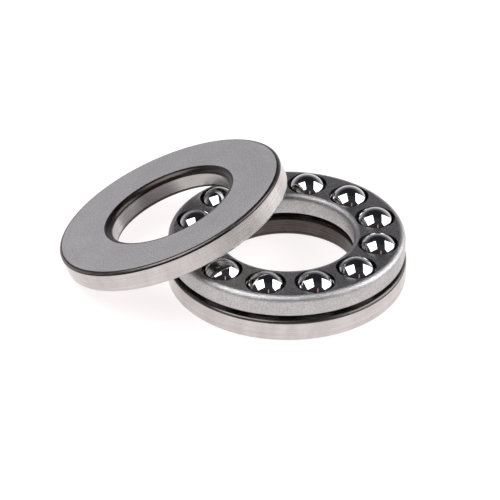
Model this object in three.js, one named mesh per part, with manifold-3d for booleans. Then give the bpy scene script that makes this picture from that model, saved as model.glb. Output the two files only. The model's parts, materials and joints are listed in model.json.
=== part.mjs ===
// Single-direction thrust ball bearing, 25 x 47 x 15 mm, taken apart for display.
// The housing washer lies flat, the cage with its twelve balls sits in its raceway,
// and the shaft washer leans over them with one edge on the ground.
// Units are millimetres, +Z is up, and the ground is z = 0.

import * as THREE from 'three';
import { mergeVertices } from 'three/addons/utils/BufferGeometryUtils.js';
import Module from 'manifold-3d';

// ---- driving dimensions -------------------------------------------------------------

const OUTER_RADIUS = 23.5;          // both washers, 47 mm across
const SHAFT_BORE_RADIUS = 12.5;     // shaft washer, 25 mm bore
const HOUSING_BORE_RADIUS = 13.5;   // housing washer, 27 mm bore
const ASSEMBLED_HEIGHT = 15;        // seat to seat with the washers on the balls
const WASHER_THICKNESS = 4.5;

const BALL_RADIUS = 3.969;          // 5/16 inch balls
const BALL_COUNT = 12;
const PITCH_RADIUS = 18.2;          // ball centres
const FIRST_BALL_ANGLE = 16.5;      // degrees from +X
const RACE_CONFORMITY = 0.54;       // groove radius over ball diameter
const RACE_GAP = 0.03;              // running gap between ball and groove bottom

const SEAT_RIM_ROUND = 0.65;        // radius of the outer corner beside the flat seat
const SEAT_BORE_ROUND = 1.25;       // of the bore corner beside the flat seat
const RACE_RIM_ROUND = 0.6;         // of the outer corner beside the raceway
const RACE_BORE_ROUND = 0.7;        // of the bore corner beside the raceway

const CAGE_OUTER_RADIUS = 23.25;
const CAGE_INNER_RADIUS = 13.2;
const CAGE_HEIGHT = 4.05;
const CAGE_TOP_ABOVE_BALLS = 2.2;   // top plate's upper side over the ball centres
const CAGE_SHEET = 0.6;
const CAGE_BEND = 1.1;              // outside radius of the two bends
const POCKET_RADIUS = 3.88;

// The leaning washer: how far it tips, which way, and where its axis meets its seat.
const LEAN_ANGLE = 22.8;            // degrees from flat
const LEAN_HEADING = 167.3;         // degrees from +X, the side that is down
const LEAN_OFFSET_X = -23.2;        // from the bearing axis
const LEAN_OFFSET_Y = 4.8;

// The bearing axis, placed so that the whole layout is centred on the origin.
const BEARING_X = 10.62;
const BEARING_Y = -2.324;

// ---- facets -------------------------------------------------------------------------

const RING_STEPS = 72;
const CORNER_STEPS = 3;
const GROOVE_STEPS = 8;
const BEND_STEPS = 3;
const POCKET_STEPS = 36;
const BALL_MERIDIANS = 16;
const BALL_PARALLELS = 10;

// ---- derived dimensions -------------------------------------------------------------

const BALL_HEIGHT = ASSEMBLED_HEIGHT / 2;
const GROOVE_RADIUS = RACE_CONFORMITY * 2 * BALL_RADIUS;
const GROOVE_DEPTH = WASHER_THICKNESS - (BALL_HEIGHT - BALL_RADIUS - RACE_GAP);
const CAGE_BASE = BALL_HEIGHT + CAGE_TOP_ABOVE_BALLS - CAGE_HEIGHT;

const radians = THREE.MathUtils.degToRad;

// ---- materials ----------------------------------------------------------------------

function steel(color, roughness) {
  return new THREE.MeshStandardMaterial({ color, roughness, metalness: 1 });
}

const GROUND_STEEL = () => steel(0xa9a7a6, 0.42);
const CAGE_STEEL = () => steel(0x8b8889, 0.34);
const POLISHED_STEEL = () => steel(0xd9dadd, 0.05);

// ---- shared shapes ------------------------------------------------------------------

// Points along an arc in the (radius, z) plane, angles in degrees from the radius axis.
function arc(centreR, centreZ, radius, startDeg, endDeg, steps) {
  const points = [];
  for (let i = 0; i <= steps; i += 1) {
    const angle = radians(startDeg + ((endDeg - startDeg) * i) / steps);
    points.push([centreR + radius * Math.cos(angle), centreZ + radius * Math.sin(angle)]);
  }
  return points;
}

// A ring about +Z from a closed outline of (radius, z) points, listed anticlockwise.
function ring(outline) {
  const closed = [...outline, outline[0]];
  const profile = closed.map(([r, z]) => new THREE.Vector2(r, z));
  return new THREE.LatheGeometry(profile, RING_STEPS).rotateX(Math.PI / 2);
}

// A washer with its flat seat at z = 0 and its raceway facing +Z.
function washer(boreRadius) {
  const drop = GROOVE_RADIUS - GROOVE_DEPTH;
  const halfAngle = THREE.MathUtils.radToDeg(Math.acos(drop / GROOVE_RADIUS));
  const corner = (centreR, centreZ, radius, startDeg) => (
    arc(centreR, centreZ, radius, startDeg, startDeg + 90, CORNER_STEPS)
  );
  const top = WASHER_THICKNESS;
  return ring([
    ...corner(boreRadius + SEAT_BORE_ROUND, SEAT_BORE_ROUND, SEAT_BORE_ROUND, 180),
    ...corner(OUTER_RADIUS - SEAT_RIM_ROUND, SEAT_RIM_ROUND, SEAT_RIM_ROUND, 270),
    ...corner(OUTER_RADIUS - RACE_RIM_ROUND, top - RACE_RIM_ROUND, RACE_RIM_ROUND, 0),
    ...arc(PITCH_RADIUS, top + drop, GROOVE_RADIUS, halfAngle - 90, -halfAngle - 90, GROOVE_STEPS),
    ...corner(boreRadius + RACE_BORE_ROUND, top - RACE_BORE_ROUND, RACE_BORE_ROUND, 90),
  ]);
}

// ---- the two washers ----------------------------------------------------------------

function housingWasher() {
  const mesh = new THREE.Mesh(washer(HOUSING_BORE_RADIUS), GROUND_STEEL());
  mesh.name = 'housing_washer';
  return mesh;
}

// The shaft washer, raceway down, tipped so that its lowest corner touches the ground.
function shaftWasher() {
  const mesh = new THREE.Mesh(washer(SHAFT_BORE_RADIUS), GROUND_STEEL());
  mesh.name = 'shaft_washer';
  mesh.rotation.x = Math.PI;

  const tip = new THREE.Group();
  tip.rotation.y = radians(LEAN_ANGLE);
  tip.add(mesh);

  const cornerRadius = OUTER_RADIUS - RACE_RIM_ROUND;
  const cornerHeight = WASHER_THICKNESS - RACE_RIM_ROUND;
  const rise = cornerRadius * Math.sin(tip.rotation.y) + cornerHeight * Math.cos(tip.rotation.y)
    + RACE_RIM_ROUND;
  const lean = new THREE.Group();
  lean.rotation.z = radians(LEAN_HEADING);
  lean.position.set(LEAN_OFFSET_X, LEAN_OFFSET_Y, rise);
  lean.add(tip);
  return lean;
}

// ---- the cage -----------------------------------------------------------------------

// An inverted channel in sheet steel, with its flange edges at z = 0.
function cageChannel() {
  const shoulder = CAGE_HEIGHT - CAGE_BEND;
  const insideBend = CAGE_BEND - CAGE_SHEET;
  const outerBend = CAGE_OUTER_RADIUS - CAGE_BEND;
  const innerBend = CAGE_INNER_RADIUS + CAGE_BEND;
  return ring([
    [CAGE_OUTER_RADIUS, 0],
    ...arc(outerBend, shoulder, CAGE_BEND, 0, 90, BEND_STEPS),
    ...arc(innerBend, shoulder, CAGE_BEND, 90, 180, BEND_STEPS),
    [CAGE_INNER_RADIUS, 0],
    [CAGE_INNER_RADIUS + CAGE_SHEET, 0],
    ...arc(innerBend, shoulder, insideBend, 180, 90, BEND_STEPS),
    ...arc(outerBend, shoulder, insideBend, 90, 0, BEND_STEPS),
    [CAGE_OUTER_RADIUS - CAGE_SHEET, 0],
  ]);
}

function ballAngle(index) {
  return radians(FIRST_BALL_ANGLE + (index * 360) / BALL_COUNT);
}

// One cutter for each pocket, through the top plate only.
function pocketCutter(index) {
  const cutterLength = 4 * CAGE_SHEET;
  const cutter = new THREE.CylinderGeometry(POCKET_RADIUS, POCKET_RADIUS, cutterLength, POCKET_STEPS);
  const angle = ballAngle(index);
  cutter.rotateX(Math.PI / 2);
  cutter.rotateZ(angle);
  cutter.translate(PITCH_RADIUS * Math.cos(angle), PITCH_RADIUS * Math.sin(angle), CAGE_HEIGHT);
  return cutter;
}

const wasm = await Module();
wasm.setup();

function toSolid(geometry) {
  const bare = geometry.clone();
  bare.deleteAttribute('normal');
  bare.deleteAttribute('uv');
  const merged = mergeVertices(bare, 1e-4);
  return new wasm.Manifold(new wasm.Mesh({
    numProp: 3,
    vertProperties: Float32Array.from(merged.attributes.position.array),
    triVerts: Uint32Array.from(merged.index.array),
  }));
}

function toGeometry(solid) {
  const mesh = solid.getMesh();
  const geometry = new THREE.BufferGeometry();
  geometry.setAttribute('position', new THREE.BufferAttribute(mesh.vertProperties, 3));
  geometry.setIndex(new THREE.BufferAttribute(mesh.triVerts, 1));
  geometry.computeVertexNormals();
  return geometry;
}

function ballCage() {
  let solid = toSolid(cageChannel());
  for (let index = 0; index < BALL_COUNT; index += 1) {
    solid = solid.subtract(toSolid(pocketCutter(index)));
  }
  const mesh = new THREE.Mesh(toGeometry(solid), CAGE_STEEL());
  mesh.name = 'ball_cage';
  mesh.position.z = CAGE_BASE;
  return mesh;
}

// ---- the balls ----------------------------------------------------------------------

// A ball's poles lie on its rolling axis, which points out from the bearing axis.
function ball(index) {
  const sphere = new THREE.SphereGeometry(BALL_RADIUS, BALL_MERIDIANS, BALL_PARALLELS);
  const mesh = new THREE.Mesh(sphere.rotateZ(-Math.PI / 2), POLISHED_STEEL());
  const angle = ballAngle(index);
  mesh.name = `ball_${String(index + 1).padStart(2, '0')}`;
  mesh.rotation.z = angle;
  mesh.position.set(PITCH_RADIUS * Math.cos(angle), PITCH_RADIUS * Math.sin(angle), BALL_HEIGHT);
  return mesh;
}

// ---- the layout ---------------------------------------------------------------------

const bearing = new THREE.Group();
bearing.position.set(BEARING_X, BEARING_Y, 0);
bearing.add(housingWasher());
bearing.add(ballCage());
for (let index = 0; index < BALL_COUNT; index += 1) {
  bearing.add(ball(index));
}
bearing.add(shaftWasher());

const model = new THREE.Group();
model.add(bearing);

export default model;
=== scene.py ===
"""Thrust ball bearing, taken apart: the looks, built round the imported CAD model.

Every mesh is made in metres about its own axis and set in the row frame. Sizes that the frame
gives are read from it. What it doesn't give, such as edge rounding, is named below in mm.
"""

import json
import math
from collections import namedtuple

import bmesh
import bpy
from mathutils import Matrix, Vector


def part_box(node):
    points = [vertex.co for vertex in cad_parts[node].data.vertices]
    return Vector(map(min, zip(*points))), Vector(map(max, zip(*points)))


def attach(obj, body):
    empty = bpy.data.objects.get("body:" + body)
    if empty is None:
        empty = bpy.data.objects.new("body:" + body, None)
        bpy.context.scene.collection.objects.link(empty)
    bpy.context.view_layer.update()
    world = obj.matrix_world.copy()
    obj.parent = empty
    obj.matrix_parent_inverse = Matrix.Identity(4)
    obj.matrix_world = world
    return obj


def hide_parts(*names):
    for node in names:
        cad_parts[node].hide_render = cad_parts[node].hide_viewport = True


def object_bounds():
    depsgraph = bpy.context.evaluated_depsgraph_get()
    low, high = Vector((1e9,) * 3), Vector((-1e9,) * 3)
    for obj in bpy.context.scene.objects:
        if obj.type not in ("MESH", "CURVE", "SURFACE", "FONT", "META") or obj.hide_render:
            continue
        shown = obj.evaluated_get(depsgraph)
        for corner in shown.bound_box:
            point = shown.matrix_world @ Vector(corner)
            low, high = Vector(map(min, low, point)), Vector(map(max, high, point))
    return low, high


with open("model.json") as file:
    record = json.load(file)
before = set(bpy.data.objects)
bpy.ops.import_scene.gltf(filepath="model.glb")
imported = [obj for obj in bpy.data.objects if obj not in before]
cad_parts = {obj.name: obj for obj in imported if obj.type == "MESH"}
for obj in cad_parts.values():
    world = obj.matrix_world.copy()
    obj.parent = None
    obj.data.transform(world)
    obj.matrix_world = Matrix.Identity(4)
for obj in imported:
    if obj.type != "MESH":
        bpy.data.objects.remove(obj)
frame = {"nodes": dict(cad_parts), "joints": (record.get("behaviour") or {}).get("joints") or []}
CAD_LOW, CAD_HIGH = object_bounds()
MIDDLE = (CAD_LOW + CAD_HIGH) / 2

MM = 0.001

# ---- sizes that the frame doesn't give, in millimetres ---------------------------------------

GROOVE_CONFORMITY = 0.54      # raceway groove radius over ball diameter
RUNNING_GAP = 0.03            # between a ball and the bottom of its groove
SEAT_RIM_ROUND = 0.65         # corner radii of both washers
SEAT_BORE_ROUND = 1.25
RACE_RIM_ROUND = 0.6
RACE_BORE_ROUND = 0.7
GROOVE_EDGE_ROUND = 0.08

CAGE_SHEET = 0.6
CAGE_BEND = 1.1               # outside radius of the cage's two bends
HEM_ROUND = 0.165             # rounding of the flanges' lower edges
POCKET_RADIUS = 3.88
POCKET_ROLL = 0.06            # rounding where the punch went in
POCKET_BREAK = 0.03           # rounding where it came out
POCKET_LIP = 0.2              # how far the lower edge is pressed in round the ball

# ---- mesh fineness ---------------------------------------------------------------------------

WASHER_STEPS = 288
GROOVE_STEPS = 28
CORNER_STEPS = 10
CORNER_END_STEPS = 3          # how many of them have the finish of the corner's ends
EDGE_STEPS = 3
SECTOR_STEPS = 28             # cage steps along one ball's share of the ring
RADIAL_STEPS = 20             # cage steps across the flat top
BEND_STEPS = 9
HEM_STEPS = 4
ROLL_STEPS = 4
FLANGE_LOOPS = (0.66, 0.33)   # loops down a flange, as shares of its height
POCKET_LOOPS = (0.62, 0.3)    # loops round a pocket, as shares of the way to its sector's edge
BALL_STEPS = 36               # squares along each side of the six ball patches
MERGE_DISTANCE = 1e-8         # metres
FLAT_WEIGHT = 80              # how strongly flat faces keep their own normals


# ---- reading the frame -----------------------------------------------------------------------

JOINTS = {joint["name"]: joint for joint in frame["joints"]}
BALL_NODES = sorted(name for name in frame["nodes"] if name.startswith(("ball_0", "ball_1")))


def joint_line(name):
    """A joint's point and axis in the row frame."""
    joint = JOINTS[name]
    return Vector(joint["pos_m"]), Vector(joint["axis"]).normalized()


def ball_angle(index):
    """The angle of a ball's place about the bearing axis."""
    axis = joint_line(BALL_NODES[index] + "_roll")[1]
    return math.atan2(axis.y, axis.x)


def reach(node, origin, axis):
    """A node's least and greatest radius about a line, and its lowest and highest place along it."""
    radii, heights = [], []
    for vertex in frame["nodes"][node].data.vertices:
        offset = vertex.co - origin
        height = offset.dot(axis)
        heights.append(height)
        radii.append((offset - height * axis).length)
    return min(radii), max(radii), min(heights), max(heights)


BEARING_POINT, BEARING_AXIS = joint_line("cage_spin")
SHAFT_POINT, SHAFT_AXIS = joint_line("shaft_washer_spin")
BALL_LOW, BALL_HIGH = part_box(BALL_NODES[0])
BALL_RADIUS = (BALL_HIGH.z - BALL_LOW.z) / 2
PITCH_RADIUS = (joint_line(BALL_NODES[0] + "_roll")[0] - BEARING_POINT).length
BALL_HEIGHT = BEARING_POINT.z


# ---- outlines --------------------------------------------------------------------------------

def arc(centre_r, centre_z, radius, start, end, steps):
    """Points along an arc in the (radius, height) plane, angles in degrees."""
    angles = [math.radians(start + (end - start) * step / steps) for step in range(steps + 1)]
    return [(centre_r + radius * math.cos(a), centre_z + radius * math.sin(a)) for a in angles]


def washer_outline(bore, rim, thickness, groove_depth):
    """A washer's outline, seat at height 0 and raceway up.

    Gives a list of (radius, height, finish of the side after it), anticlockwise, in metres.
    """
    outline = []

    def run(points, along, after):
        """Adds points, with one finish between them and another after the last."""
        outline.extend((*point, along) for point in points[:-1])
        outline.append((*points[-1], after))

    def corner(r, z, size, start, finish, after):
        """Adds a quarter round whose two ends have a finish of their own."""
        points = arc(r, z, size, start, start + 90, CORNER_STEPS)
        run(points[:CORNER_END_STEPS + 1], finish + " end", finish)
        run(points[CORNER_END_STEPS + 1:-CORNER_END_STEPS], finish, finish + " end")
        run(points[-CORNER_END_STEPS:], finish + " end", after)

    seat_bore, seat_rim = SEAT_BORE_ROUND * MM, SEAT_RIM_ROUND * MM
    race_bore, race_rim = RACE_BORE_ROUND * MM, RACE_RIM_ROUND * MM
    corner(bore + seat_bore, seat_bore, seat_bore, 180, "bore corner", "seat")
    corner(rim - seat_rim, seat_rim, seat_rim, 270, "seat corner", "rim")
    corner(rim - race_rim, thickness - race_rim, race_rim, 0, "race corner", "shoulder")

    edge = GROOVE_EDGE_ROUND * MM
    edge_height = thickness - edge
    groove_radius = GROOVE_CONFORMITY * 2 * BALL_RADIUS
    groove_centre = thickness + groove_radius - groove_depth
    rise = groove_centre - edge_height
    half_width = math.sqrt((groove_radius + edge) ** 2 - rise ** 2)
    slope = math.degrees(math.atan2(half_width, rise))
    outer_edge = arc(PITCH_RADIUS + half_width, edge_height, edge, 90, 90 + slope, EDGE_STEPS)
    groove = arc(PITCH_RADIUS, groove_centre, groove_radius, slope - 90, -slope - 90, GROOVE_STEPS)
    inner_edge = arc(PITCH_RADIUS - half_width, edge_height, edge, 90 - slope, 90, EDGE_STEPS)
    run(outer_edge, "shoulder", "raceway")
    run(groove[1:-1], "raceway", "raceway")
    run(inner_edge, "shoulder", "shoulder")
    corner(bore + race_bore, thickness - race_bore, race_bore, 90, "bore corner", "bore")
    return outline


# ---- meshes ----------------------------------------------------------------------------------

def make_object(name, vertices, faces, finishes, face_finishes, has_flats=True):
    """A smooth closed mesh object. finishes is {finish: material}, face_finishes one finish per face."""
    mesh = bpy.data.meshes.new(name)
    mesh.from_pydata(vertices, [], faces)
    order = list(finishes)
    for finish in order:
        mesh.materials.append(finishes[finish])
    for polygon, finish in zip(mesh.polygons, face_finishes):
        polygon.material_index = order.index(finish)
        polygon.use_smooth = True
    mesh.validate()
    made = bpy.data.objects.new(name, mesh)
    bpy.context.scene.collection.objects.link(made)
    if has_flats:
        weighted = made.modifiers.new("flat faces stay flat", "WEIGHTED_NORMAL")
        weighted.mode = "FACE_AREA"
        weighted.weight = FLAT_WEIGHT
    return made


def turned_ring(name, outline, finishes):
    """A ring about local Z from a closed outline of (radius, height, finish)."""
    count = len(outline)
    vertices, faces, face_finishes = [], [], []
    for step in range(WASHER_STEPS):
        angle = 2 * math.pi * step / WASHER_STEPS
        for r, z, _ in outline:
            vertices.append((r * math.cos(angle), r * math.sin(angle), z))
    for step in range(WASHER_STEPS):
        here, there = step * count, ((step + 1) % WASHER_STEPS) * count
        for index, (_, _, finish) in enumerate(outline):
            after = (index + 1) % count
            faces.append((here + index, there + index, there + after, here + after))
            face_finishes.append(finish)
    return make_object(name, vertices, faces, finishes, face_finishes)


class CageMesh:
    """The pressed cage: a flat top with round pockets, two bends and two flanges, all of one sheet."""

    def __init__(self, inner, outer, height):
        self.inner, self.outer, self.height = inner, outer, height
        self.count = SECTOR_STEPS * len(BALL_NODES)
        self.first_angle = ball_angle(0) - math.pi / len(BALL_NODES)
        self.vertices, self.faces, self.face_finishes = [], [], []

    def vertex(self, x, y, z):
        self.vertices.append((x, y, z))
        return len(self.vertices) - 1

    def polar(self, r, angle, z):
        return self.vertex(r * math.cos(angle), r * math.sin(angle), z)

    def row(self, r, z):
        """A whole ring of vertices."""
        step = 2 * math.pi / self.count
        return [self.polar(r, self.first_angle + i * step, z) for i in range(self.count)]

    def band(self, lower, upper, finish):
        """Faces between two loops of equal length."""
        n = len(lower)
        for i in range(n):
            self.faces.append((lower[i], lower[(i + 1) % n], upper[(i + 1) % n], upper[i]))
            self.face_finishes.append(finish)

    def flange_profile(self, r, sign):
        """(radius, height) round a bend from the top, down the flange, and back up inside it.

        sign is 1 for the outer flange and -1 for the inner one.
        """
        sheet, bend, hem = CAGE_SHEET * MM, CAGE_BEND * MM, HEM_ROUND * MM
        shoulder = self.height - bend
        bend_r, wall_r = r - sign * bend, r - sign * sheet
        outside = arc(bend_r, shoulder, bend, 90, 0, BEND_STEPS)
        inside = arc(bend_r, shoulder, bend - sheet, 0, 90, BEND_STEPS)
        hem_points = arc(0, hem, hem, 0, -90, HEM_STEPS)
        levels = [shoulder * share for share in FLANGE_LOOPS]
        profile = [(bend_r + sign * (x - bend_r), y) for x, y in outside]
        profile += [(r, level) for level in levels]
        profile += [(r - sign * (hem - x), y) for x, y in hem_points]
        profile += [(wall_r + sign * (hem - x), y) for x, y in reversed(hem_points)]
        profile += [(wall_r, level) for level in reversed(levels)]
        profile += [(bend_r + sign * (x - bend_r), y) for x, y in inside]
        return profile

    def flange(self, r, sign):
        """A bend and its flange. Gives the rows where it meets the plate's top and underside."""
        profile = self.flange_profile(r, sign)
        rows = [self.row(*point) for point in profile]
        finishes = ["bend"] * BEND_STEPS + ["sheet"] * (len(profile) - 1 - BEND_STEPS)
        for lower, upper, finish in zip(rows, rows[1:], finishes):
            self.band(lower, upper, finish)
        return rows[0], rows[-1]

    def plate(self, inner_row, outer_row, z, pocket_profile):
        """The flat ring at height z between two rows. Gives each pocket's last loop.

        pocket_profile is (radius, height) from the plate's own level into the pocket.
        """
        start_r, end_r = self.inner + CAGE_BEND * MM, self.outer - CAGE_BEND * MM
        radii = [start_r + (end_r - start_r) * k / RADIAL_STEPS for k in range(1, RADIAL_STEPS)]
        sides = []
        for sector in range(len(BALL_NODES)):
            angle = self.first_angle + 2 * math.pi * sector / len(BALL_NODES)
            sides.append([self.polar(r, angle, z) for r in radii])
        last_loops = []
        for sector in range(len(BALL_NODES)):
            begin = sector * SECTOR_STEPS
            along = [(begin + i) % self.count for i in range(SECTOR_STEPS + 1)]
            outline = [inner_row[i] for i in along] + sides[(sector + 1) % len(BALL_NODES)]
            outline += [outer_row[i] for i in reversed(along)] + sides[sector][::-1]
            last_loops.append(self.pocket(outline, ball_angle(sector), z, pocket_profile))
        return last_loops

    def pocket(self, outline, angle, z, profile):
        """One sector of the plate, from its outline in to its pocket. Gives the last loop."""
        centre = Vector((PITCH_RADIUS * math.cos(angle), PITCH_RADIUS * math.sin(angle)))
        spokes = [Vector(self.vertices[i][:2]) - centre for i in outline]
        loop = outline
        for share in POCKET_LOOPS:
            ring = []
            for spoke in spokes:
                edge = spoke.normalized() * profile[0][0]
                ring.append(self.vertex(*(centre + edge.lerp(spoke, share)), z))
            self.band(loop, ring, "sheet")
            loop = ring
        for r, height in profile:
            ring = [self.vertex(*(centre + spoke.normalized() * r), height) for spoke in spokes]
            self.band(loop, ring, "sheet" if height == z else "edge")
            loop = ring
        return loop

    def build(self):
        outer_top, outer_under = self.flange(self.outer, 1)
        inner_top, inner_under = self.flange(self.inner, -1)
        top, under = self.height, self.height - CAGE_SHEET * MM
        roll, broken = POCKET_ROLL * MM, POCKET_BREAK * MM
        pocket = POCKET_RADIUS * MM
        neck = pocket - POCKET_LIP * MM
        roll_points = arc(0, 0, roll, 90, 0, ROLL_STEPS)
        broken_points = arc(0, 0, broken, 90, 0, EDGE_STEPS)
        upper = [(pocket + roll - x, top - roll + y) for x, y in roll_points]
        lower = [(neck + broken - x, under + broken - y) for x, y in broken_points]
        tops = self.plate(inner_top, outer_top, top, upper)
        unders = self.plate(inner_under, outer_under, under, lower)
        for high, low in zip(tops, unders):
            # the pocket walls, coloured near black as painted shade
            self.band(high, low, "edge")


def turn_faces_outward(made):
    """Turns every face of a closed mesh outward."""
    shape = bmesh.new()
    shape.from_mesh(made.data)
    bmesh.ops.remove_doubles(shape, verts=shape.verts, dist=MERGE_DISTANCE)
    bmesh.ops.recalc_face_normals(shape, faces=shape.faces)
    shape.to_mesh(made.data)
    shape.free()


def ball_mesh(name, finishes):
    """A ball from six square patches, so that no facets meet at a pole."""
    patch_turns = [
        Matrix.Identity(3),
        Matrix.Rotation(math.pi / 2, 3, "Y"),
        Matrix.Rotation(-math.pi / 2, 3, "Y"),
        Matrix.Rotation(math.pi / 2, 3, "X"),
        Matrix.Rotation(-math.pi / 2, 3, "X"),
        Matrix.Rotation(math.pi, 3, "Y"),
    ]
    vertices, faces = [], []
    across = BALL_STEPS + 1
    for turn in patch_turns:
        first = len(vertices)
        for row in range(across):
            for column in range(across):
                angles = [math.pi / 2 * (k / BALL_STEPS - 0.5) for k in (column, row)]
                spot = Vector((math.tan(angles[0]), math.tan(angles[1]), 1)).normalized()
                vertices.append(turn @ spot * BALL_RADIUS)
        for row in range(BALL_STEPS):
            for column in range(BALL_STEPS):
                corner = first + row * across + column
                faces.append((corner, corner + 1, corner + across + 1, corner + across))
    return make_object(name, vertices, faces, finishes, ["polish"] * len(faces), has_flats=False)


# ---- finishes --------------------------------------------------------------------------------

# The darkest and the lightest linear colour, and the least and the greatest roughness.
Look = namedtuple("Look", "dark light rough")

SEAT = Look((0.5, 0.486, 0.498), (0.83, 0.81, 0.827), (0.44, 0.54))
RIM = Look((0.44, 0.42, 0.41), (0.66, 0.64, 0.63), (0.14, 0.28))
SHAFT_BORE = Look((0.42, 0.408, 0.398), (0.6, 0.585, 0.575), (0.24, 0.38))
HOUSING_BORE = Look((0.05, 0.042, 0.039), (0.15, 0.132, 0.122), (0.25, 0.42))
# Partly painted shade: the dark colour of the upper outside corners, while the same corners facing down
# get bright rim steel.
CORNER = Look((0.08, 0.072, 0.069), (0.15, 0.139, 0.134), (0.28, 0.4))
# Painted shade: near-black lines along both ends of the shaft washer's seat corner.
CORNER_END_PAINTED_SHADE = Look((0.015, 0.012, 0.011), (0.05, 0.044, 0.042), (0.28, 0.4))
BORE_CORNER = Look((0.03, 0.024, 0.021), (0.07, 0.06, 0.056), (0.28, 0.4))
RACEWAY = Look((0.34, 0.33, 0.32), (0.44, 0.432, 0.425), (0.22, 0.32))
# Painted shade: the lands beside the groove are dark for the shadowed gaps by the cage.
SHOULDER_PAINTED_SHADE = Look((0.06, 0.055, 0.052), (0.12, 0.112, 0.108), (0.28, 0.42))
SHEET = Look((0.36, 0.354, 0.358), (0.58, 0.57, 0.574), (0.24, 0.34))
BEND = SHEET._replace(rough=(0.31, 0.43))
# Painted shade: the pocket walls are near black for the shadowed gap round each ball.
PUNCHED_EDGE_PAINTED_SHADE = Look((0.03, 0.03, 0.03), (0.06, 0.06, 0.06), (0.24, 0.34))
POLISH = Look((0.57, 0.575, 0.585), (0.65, 0.655, 0.66), (0.04, 0.08))

SHEET_GRAIN = 0.055           # depths of the sheet's grain, in mm
BEND_GRAIN = 0.1
EDGE_GRAIN = 0.008
TRACK_EDGE = (0.5, 0.8)       # where the run-in track fades out, mm from the pitch circle
RIM_ANISOTROPY = 0.8
QUARTER_TURN = 0.25           # turns the gloss from along the grinding lines to across them


class Finish:
    """A node material with short calls for the nodes used here. Lengths in the nodes are in mm."""

    def __init__(self, name):
        self.material = bpy.data.materials.new(name)
        self.material.use_nodes = True
        self.tree = self.material.node_tree
        self.shader = self.tree.nodes["Principled BSDF"]
        self.shader.inputs["Metallic"].default_value = 1.0
        coordinates = self.tree.nodes.new("ShaderNodeTexCoord").outputs["Object"]
        self.position = self.times(coordinates, (1 / MM, 1 / MM, 1 / MM))

    def add(self, kind, inputs, **settings):
        """A node. Each of its inputs is a number, a tuple or another node's output."""
        made = self.tree.nodes.new(kind)
        for key, value in settings.items():
            setattr(made, key, value)
        for key, value in inputs.items():
            if isinstance(value, bpy.types.NodeSocket):
                self.tree.links.new(value, made.inputs[key])
            else:
                made.inputs[key].default_value = value
        return made

    def times(self, vector, scale):
        return self.add("ShaderNodeVectorMath", {0: vector, 1: scale}, operation="MULTIPLY").outputs[0]

    def math(self, operation, a, b=0.0):
        return self.add("ShaderNodeMath", {0: a, 1: b}, operation=operation).outputs[0]

    def total(self, *parts):
        """The sum of (value, share) pairs, each value times its share."""
        total = 0.0
        for value, share in parts:
            total = self.math("ADD", total, self.math("MULTIPLY", value, share))
        return total

    def noise(self, cells, detail=3.0, roughness=0.55):
        """Noise from 0 to 1 with so many cells per mm along X, Y and Z."""
        return self.texture(self.times(self.position, cells), detail, roughness)

    def rings(self, cells, drift):
        """Noise drawn out round local Z on a flat face: so many cells per mm of radius."""
        spread = self.add("ShaderNodeVectorMath", {0: self.position}, operation="NORMALIZE").outputs[0]
        parts = self.add("ShaderNodeSeparateXYZ", {0: spread})
        x = self.math("MULTIPLY", parts.outputs["X"], drift)
        y = self.math("MULTIPLY", parts.outputs["Y"], drift)
        z = self.math("MULTIPLY", self.radius(), cells)
        vector = self.add("ShaderNodeCombineXYZ", {0: x, 1: y, 2: z}).outputs[0]
        return self.texture(vector, detail=3.0, roughness=0.6)

    def texture(self, vector, detail, roughness):
        inputs = {"Vector": vector, "Scale": 1.0, "Detail": detail, "Roughness": roughness}
        return self.add("ShaderNodeTexNoise", inputs).outputs["Fac"]

    def radius(self):
        """The distance from local Z in mm."""
        flat = self.times(self.position, (1, 1, 0))
        return self.add("ShaderNodeVectorMath", {0: flat}, operation="LENGTH").outputs["Value"]

    def ramp(self, value, low, high, to_low=0.0, to_high=1.0):
        inputs = {"Value": value, "From Min": low, "From Max": high, "To Min": to_low, "To Max": to_high}
        return self.add("ShaderNodeMapRange", inputs).outputs["Result"]

    def bump(self, height, depth, normal=None):
        """Raises the surface by height times depth, which is in mm."""
        inputs = {"Height": height, "Distance": depth * MM, "Strength": 1.0}
        if normal is not None:
            inputs["Normal"] = normal
        return self.add("ShaderNodeBump", inputs).outputs["Normal"]

    def link(self, socket, value):
        self.tree.links.new(value, self.shader.inputs[socket])

    def colour(self, value, low, high, look):
        """Goes from the look's dark colour where value is low to its light one where it's high."""
        mix = self.add("ShaderNodeMix", {}, data_type="RGBA")
        self.tree.links.new(self.ramp(value, low, high), mix.inputs[0])
        mix.inputs[6].default_value = (*look.dark, 1)
        mix.inputs[7].default_value = (*look.light, 1)
        self.link("Base Color", mix.outputs[2])

    def roughness(self, value, low, high, look):
        self.link("Roughness", self.ramp(value, low, high, *look.rough))

    def across_lines(self):
        """Grinding lines run round local Z, so gloss spreads across them, along local Z."""
        self.shader.inputs["Anisotropic"].default_value = RIM_ANISOTROPY
        self.shader.inputs["Anisotropic Rotation"].default_value = QUARTER_TURN
        tangent = self.add("ShaderNodeTangent", {}, direction_type="RADIAL", axis="Z")
        self.link("Tangent", tangent.outputs[0])


def ground_seat():
    """Surface-ground flat: matt, with very fine grain and faint rings."""
    f = Finish("ground_seat")
    grain = f.noise((3, 3, 3), detail=5, roughness=0.8)
    rings = f.rings(5.0, 3.0)
    cloud = f.noise((0.12, 0.12, 0.12), detail=2)
    f.colour(f.total((grain, 0.75), (rings, 0.15), (cloud, 0.1)), 0.39, 0.61, SEAT)
    f.roughness(f.math("ADD", grain, rings), 0.7, 1.3, SEAT)
    f.link("Normal", f.bump(rings, 0.006, f.bump(grain, 0.009)))
    return f.material


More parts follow.
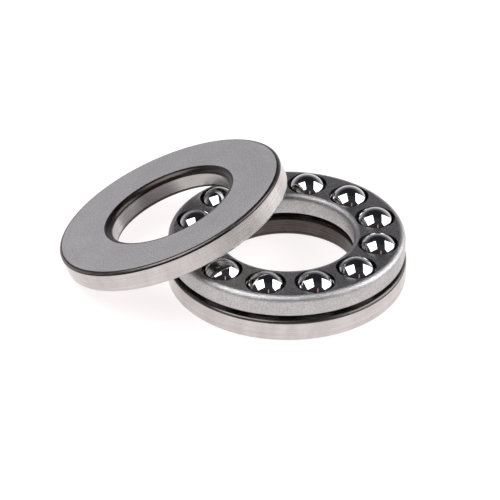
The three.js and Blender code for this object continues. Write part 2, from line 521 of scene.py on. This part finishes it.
def ground_round(name, look):
    """Cylindrical grinding on a rim or in a bore, with fine lines round the ring."""
    f = Finish(name)
    lines = f.noise((0.05, 0.05, 9.0), detail=5, roughness=0.65)
    broad = f.noise((0.3, 0.3, 0.12))
    f.colour(f.total((lines, 0.7), (broad, 0.3)), 0.35, 0.65, look)
    f.roughness(lines, 0.3, 0.7, look)
    f.link("Normal", f.bump(lines, 0.006))
    f.across_lines()
    return f.material


def hardened_corner(name, look):
    """A dark, slightly brown corner that still shines: oxide left from hardening, partly painted shade
    on the upper outside corners and painted shade on the ends of the shaft washer's seat corner.
    """
    f = Finish(name)
    lines = f.noise((0.25, 0.25, 5), detail=4, roughness=0.6)
    fleck = f.noise((5, 5, 5))
    both = f.math("ADD", fleck, lines)
    f.colour(both, 0.8, 1.2, look)
    f.roughness(both, 0.8, 1.2, look)
    f.link("Normal", f.bump(lines, 0.004, f.bump(fleck, 0.003)))
    return f.material


def lapped_raceway():
    """The groove that the balls run in: smooth, with a faint darker track where they roll."""
    f = Finish("lapped_raceway")
    lines = f.rings(9.0, 1.5)
    off_track = f.math("ABSOLUTE", f.math("SUBTRACT", f.radius(), PITCH_RADIUS / MM))
    f.colour(off_track, *TRACK_EDGE, RACEWAY)
    f.roughness(lines, 0.3, 0.7, RACEWAY)
    f.link("Normal", f.bump(lines, 0.0015))
    return f.material


def turned_shoulder_painted_shade():
    """The flat lands beside the groove, coloured dark as painted shade for the gaps beside the cage."""
    f = Finish("turned_shoulder_painted_shade")
    lines = f.rings(6.0, 1.0)
    f.colour(lines, 0, 1, SHOULDER_PAINTED_SHADE)
    f.roughness(lines, 0.3, 0.7, SHOULDER_PAINTED_SHADE)
    f.link("Normal", f.bump(lines, 0.005))
    return f.material


def tumbled_sheet(name, look, grain_depth):
    """Pressed steel sheet, tumbled to an even satin with a fine orange-peel grain."""
    f = Finish(name)
    speckle = f.noise((3.2, 3.2, 3.2), roughness=0.65)
    grain = f.noise((4.5, 4.5, 4.5), detail=2)
    fine = f.noise((10, 10, 10), detail=1)
    cloud = f.noise((0.2, 0.2, 0.2), detail=2)
    f.colour(f.total((speckle, 1), (cloud, 0.4)), 0.5, 0.9, look)
    f.roughness(fine, 0.3, 0.7, look)
    f.link("Normal", f.bump(grain, grain_depth, f.bump(fine, grain_depth / 3)))
    return f.material


def polished_ball():
    """A lapped bearing ball: a mirror with hair-fine marks."""
    f = Finish("polished_ball")
    hairs = f.noise((0.5, 9, 9), detail=4, roughness=0.7)
    f.colour(hairs, 0, 1, POLISH)
    f.roughness(hairs, 0.45, 0.75, POLISH)
    return f.material


# ---- the pieces ------------------------------------------------------------------------------

STRAIGHT_RIGHT = Vector((1, 0, 0))


def place(made, origin, up, along, body, node):
    """Sets a piece with its local Z along up and local X towards along, and ties it to the frame."""
    x = (along - up * along.dot(up)).normalized()
    turn = Matrix((x, up.cross(x), up)).transposed().to_4x4()
    made.matrix_world = Matrix.Translation(origin) @ turn
    turn_faces_outward(made)
    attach(made, body)
    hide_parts(node)


def make_washers():
    """Both washers. Their upper outside corners are dark and their lower ones get the rim's bright
    ground steel: partly oxide, partly painted shade, since the same corner is dark only where it faces
    up.
    """
    rim = ground_round("ground_rim", RIM)
    oxide_and_painted_shade_corner = hardened_corner("hardened_corner", CORNER)
    # painted shade for the two ends of the shaft washer's seat corner
    painted_shade_end = hardened_corner("corner_end_painted_shade", CORNER_END_PAINTED_SHADE)
    bore_corner = hardened_corner("hardened_bore_corner", BORE_CORNER)
    shared = {
        "seat": ground_seat(),
        "rim": rim,
        "raceway": lapped_raceway(),
        "shoulder": turned_shoulder_painted_shade(),
        "bore corner": bore_corner,
        "bore corner end": bore_corner,
    }
    lower_finishes = {
        **shared,
        "bore": ground_round("dark_bore", HOUSING_BORE),
        "seat corner": rim,
        "seat corner end": rim,
        # the race corner faces up here: oxide colour, partly painted shade
        "race corner": oxide_and_painted_shade_corner,
        "race corner end": oxide_and_painted_shade_corner,
    }
    upper_finishes = {
        **shared,
        "bore": ground_round("honed_bore", SHAFT_BORE),
        # the seat corner faces up here: oxide colour, partly painted shade
        "seat corner": oxide_and_painted_shade_corner,
        # the seat corner's two ends are painted shade lines
        "seat corner end": painted_shade_end,
        "race corner": rim,
        "race corner end": rim,
    }

    bore, outside, low, high = reach("housing_washer", BEARING_POINT, BEARING_AXIS)
    thickness = high - low
    depth = thickness - (BALL_HEIGHT - BALL_RADIUS - RUNNING_GAP * MM)
    outline = washer_outline(bore, outside, thickness, depth)
    lower = turned_ring("housing_washer_steel", outline, lower_finishes)
    seat_centre = BEARING_POINT + low * BEARING_AXIS
    place(lower, seat_centre, BEARING_AXIS, STRAIGHT_RIGHT, "housing", "housing_washer")

    bore, outside, low, high = reach("shaft_washer", SHAFT_POINT, SHAFT_AXIS)
    outline = washer_outline(bore, outside, thickness, depth)
    upper = turned_ring("shaft_washer_steel", outline, upper_finishes)
    seat_centre = SHAFT_POINT + high * SHAFT_AXIS
    place(upper, seat_centre, -SHAFT_AXIS, STRAIGHT_RIGHT, "shaft", "shaft_washer")


def make_cage():
    inner, outer, low, high = reach("ball_cage", BEARING_POINT, BEARING_AXIS)
    cage = CageMesh(inner, outer, high - low)
    cage.build()
    finishes = {
        "sheet": tumbled_sheet("tumbled_sheet", SHEET, SHEET_GRAIN),
        "bend": tumbled_sheet("stretched_bend", BEND, BEND_GRAIN),
        # painted shade on the pocket walls
        "edge": tumbled_sheet("punched_edge_painted_shade", PUNCHED_EDGE_PAINTED_SHADE, EDGE_GRAIN),
    }
    made = make_object("ball_cage_sheet", cage.vertices, cage.faces, finishes, cage.face_finishes)
    base = BEARING_POINT + low * BEARING_AXIS
    place(made, base, BEARING_AXIS, STRAIGHT_RIGHT, "cage", "ball_cage")


def make_balls():
    finishes = {"polish": polished_ball()}
    for node in BALL_NODES:
        centre, axis = joint_line(node + "_roll")
        made = ball_mesh(node + "_polished", finishes)
        place(made, centre, BEARING_AXIS, axis, node, node)


# ---- the studio ------------------------------------------------------------------------------

CAMERA_ELEVATION = 33.18      # degrees
CAMERA_DISTANCE = 0.5814
CAMERA_LENS = 209.557         # mm, on the sensor below
SENSOR_WIDTH = 36
CLIP = (0.01, 10)
AIM_OFFSET = Vector((0.003425, 0.005992, 0))

FLOOR_RADIUS = 1.6
FLOOR_STEPS = 96
FLOOR_COLOUR = (0.17, 0.162, 0.162)
FLOOR_ROUGHNESS = 0.9
FLOOR_GLOW_COLOUR = (1, 0.955, 0.955)
FLOOR_GLOW = (0.9, 0.5)       # strength near the bearing and far from it
FLOOR_GLOW_ENDS = (250, 700)  # mm from the middle, where it starts and stops falling off

PANEL_DISTANCE = 0.8
PANEL_STEPS = 10
PANEL_RADIANCE = 4.5
CARD_RADIANCE = 0.9
WHITE = (1, 1, 1)
ROSE = (0.72, 0.56, 0.53)
# Corners of two soft light panels and a small card: degrees round from the camera's side, and
# degrees above the floor.
LEFT_PANEL = ((-114, 33), (-150, 71), (-7, 57), (-48, 31))
RIGHT_PANEL = ((130, 48), (124, 24), (129, 2), (108, 8), (62, 22), (59, 42))
LOW_CARD = ((20, 44), (27, 43), (21, 22), (15, 22))

# The room's light: behind the bearing by the sine of the height above the horizon, and in front
# from the camera's side to overhead.
HORIZON_TO_ZENITH = (
    (0.0, (0.8, 0.785, 0.8)),
    (0.2, (0.5, 0.486, 0.51)),
    (0.35, (0.21, 0.203, 0.222)),
    (0.5, (0.095, 0.092, 0.104)),
    (0.59, (0.036, 0.035, 0.042)),
    (0.68, (0.024, 0.024, 0.029)),
)
FRONT_TO_BACK = (
    (0.06, (0.04, 0.028, 0.028)),
    (0.22, (0.05, 0.045, 0.052)),
    (0.4, (0.046, 0.048, 0.057)),
    (0.52, (0.024, 0.025, 0.029)),
)
FRONT_EDGE, BACK_EDGE = -0.1, 0.15      # where the one gives way to the other, along Y


def studio_white():
    """The pale studio floor, which glows faintly."""
    f = Finish("studio_white")
    f.shader.inputs["Metallic"].default_value = 0.0
    f.shader.inputs["Base Color"].default_value = (*FLOOR_COLOUR, 1)
    f.shader.inputs["Roughness"].default_value = FLOOR_ROUGHNESS
    f.shader.inputs["Emission Color"].default_value = (*FLOOR_GLOW_COLOUR, 1)
    f.link("Emission Strength", f.ramp(f.radius(), *FLOOR_GLOW_ENDS, *FLOOR_GLOW))
    return f.material


def glowing(name, colour, radiance):
    """A material that only gives light."""
    glow = bpy.data.materials.new(name)
    glow.use_nodes = True
    tree = glow.node_tree
    tree.nodes.remove(tree.nodes["Principled BSDF"])
    light = tree.nodes.new("ShaderNodeEmission")
    light.inputs["Color"].default_value = (*colour, 1)
    light.inputs["Strength"].default_value = radiance
    tree.links.new(light.outputs[0], tree.nodes["Material Output"].inputs["Surface"])
    return glow


def stage_mesh(name, vertices, faces, material):
    mesh = bpy.data.meshes.new(name)
    mesh.from_pydata(vertices, [], faces)
    mesh.materials.append(material)
    made = bpy.data.objects.new(name, mesh)
    bpy.context.scene.collection.objects.link(made)


def make_floor():
    """A round floor."""
    angles = [2 * math.pi * step / FLOOR_STEPS for step in range(FLOOR_STEPS)]
    circle = [(FLOOR_RADIUS * math.cos(a), FLOOR_RADIUS * math.sin(a)) for a in angles]
    ring = [(MIDDLE.x + x, MIDDLE.y + y, 0) for x, y in circle]
    stage_mesh("studio_floor", ring, [tuple(range(FLOOR_STEPS))], studio_white())


def direction(azimuth, elevation):
    """A unit vector: azimuth in degrees round from the camera's side, elevation above the floor."""
    a, e = math.radians(azimuth), math.radians(elevation)
    return Vector((math.sin(a) * math.cos(e), -math.cos(a) * math.cos(e), math.sin(e)))


TO_CAMERA = direction(0, CAMERA_ELEVATION)


def make_panel(name, corners, colour, radiance):
    """A soft light panel with its corners in the given directions from the bearing.

    Its edges are bent so that a ball shows them straight to the camera: a ball shows what lies in
    a direction where its surface faces halfway between that direction and the camera's.
    """
    halves = []
    for corner in corners:
        half = (direction(*corner) + TO_CAMERA).normalized()
        halves.append(half - TO_CAMERA * half.dot(TO_CAMERA))
    edge = []
    for start, end in zip(halves, halves[1:] + halves[:1]):
        edge += [start.lerp(end, step / PANEL_STEPS) for step in range(PANEL_STEPS)]
    vertices = []
    for flat in [sum(halves, Vector()) / len(halves)] + edge:
        half = flat + TO_CAMERA * math.sqrt(1 - flat.length_squared)
        vertices.append(MIDDLE + (2 * half.dot(TO_CAMERA) * half - TO_CAMERA) * PANEL_DISTANCE)
    faces = [(0, 1 + k, 1 + (k + 1) % len(edge)) for k in range(len(edge))]
    stage_mesh(name, vertices, faces, glowing(name, colour, radiance))


def make_surroundings():
    """A dim room: pale near the horizon behind the bearing, dark above and in front."""
    world = bpy.data.worlds.new("studio_room")
    world.use_nodes = True
    tree = world.node_tree
    coordinates = tree.nodes.new("ShaderNodeTexCoord")
    parts = tree.nodes.new("ShaderNodeSeparateXYZ")
    tree.links.new(coordinates.outputs["Generated"], parts.inputs[0])

    def colour_ramp(value, stops):
        ramp = tree.nodes.new("ShaderNodeValToRGB")
        for position, _ in stops[1:-1]:
            ramp.color_ramp.elements.new(position)
        for element, (position, colour) in zip(ramp.color_ramp.elements, stops):
            element.position = position
            element.color = (*colour, 1)
        tree.links.new(value, ramp.inputs[0])
        return ramp.outputs[0]

    def map_range(value, low, high):
        mapped = tree.nodes.new("ShaderNodeMapRange")
        mapped.inputs["From Min"].default_value = low
        mapped.inputs["From Max"].default_value = high
        tree.links.new(value, mapped.inputs["Value"])
        return mapped.outputs[0]

    behind = colour_ramp(parts.outputs["Z"], HORIZON_TO_ZENITH)
    in_front = colour_ramp(map_range(parts.outputs["Y"], -1, 1), FRONT_TO_BACK)
    mix = tree.nodes.new("ShaderNodeMix")
    mix.data_type = "RGBA"
    tree.links.new(map_range(parts.outputs["Y"], FRONT_EDGE, BACK_EDGE), mix.inputs[0])
    tree.links.new(in_front, mix.inputs[6])
    tree.links.new(behind, mix.inputs[7])
    tree.links.new(mix.outputs[2], tree.nodes["Background"].inputs["Color"])
    bpy.context.scene.world = world


def make_camera():
    data = bpy.data.cameras.new("camera")
    data.lens = CAMERA_LENS
    data.sensor_width = SENSOR_WIDTH
    data.clip_start, data.clip_end = CLIP
    camera = bpy.data.objects.new("camera", data)
    bpy.context.scene.collection.objects.link(camera)
    aim = Vector((MIDDLE.x, MIDDLE.y, 0)) + AIM_OFFSET
    camera.location = aim + TO_CAMERA * CAMERA_DISTANCE
    camera.rotation_mode = "QUATERNION"
    camera.rotation_quaternion = (-TO_CAMERA).to_track_quat("-Z", "Y")
    bpy.context.scene.camera = camera


make_camera()
make_floor()
make_panel("left_panel", LEFT_PANEL, WHITE, PANEL_RADIANCE)
make_panel("right_panel", RIGHT_PANEL, WHITE, PANEL_RADIANCE)
make_panel("low_card", LOW_CARD, ROSE, CARD_RADIANCE)
make_surroundings()
make_washers()
make_cage()
make_balls()
bpy.context.scene.view_settings.view_transform = "Standard"
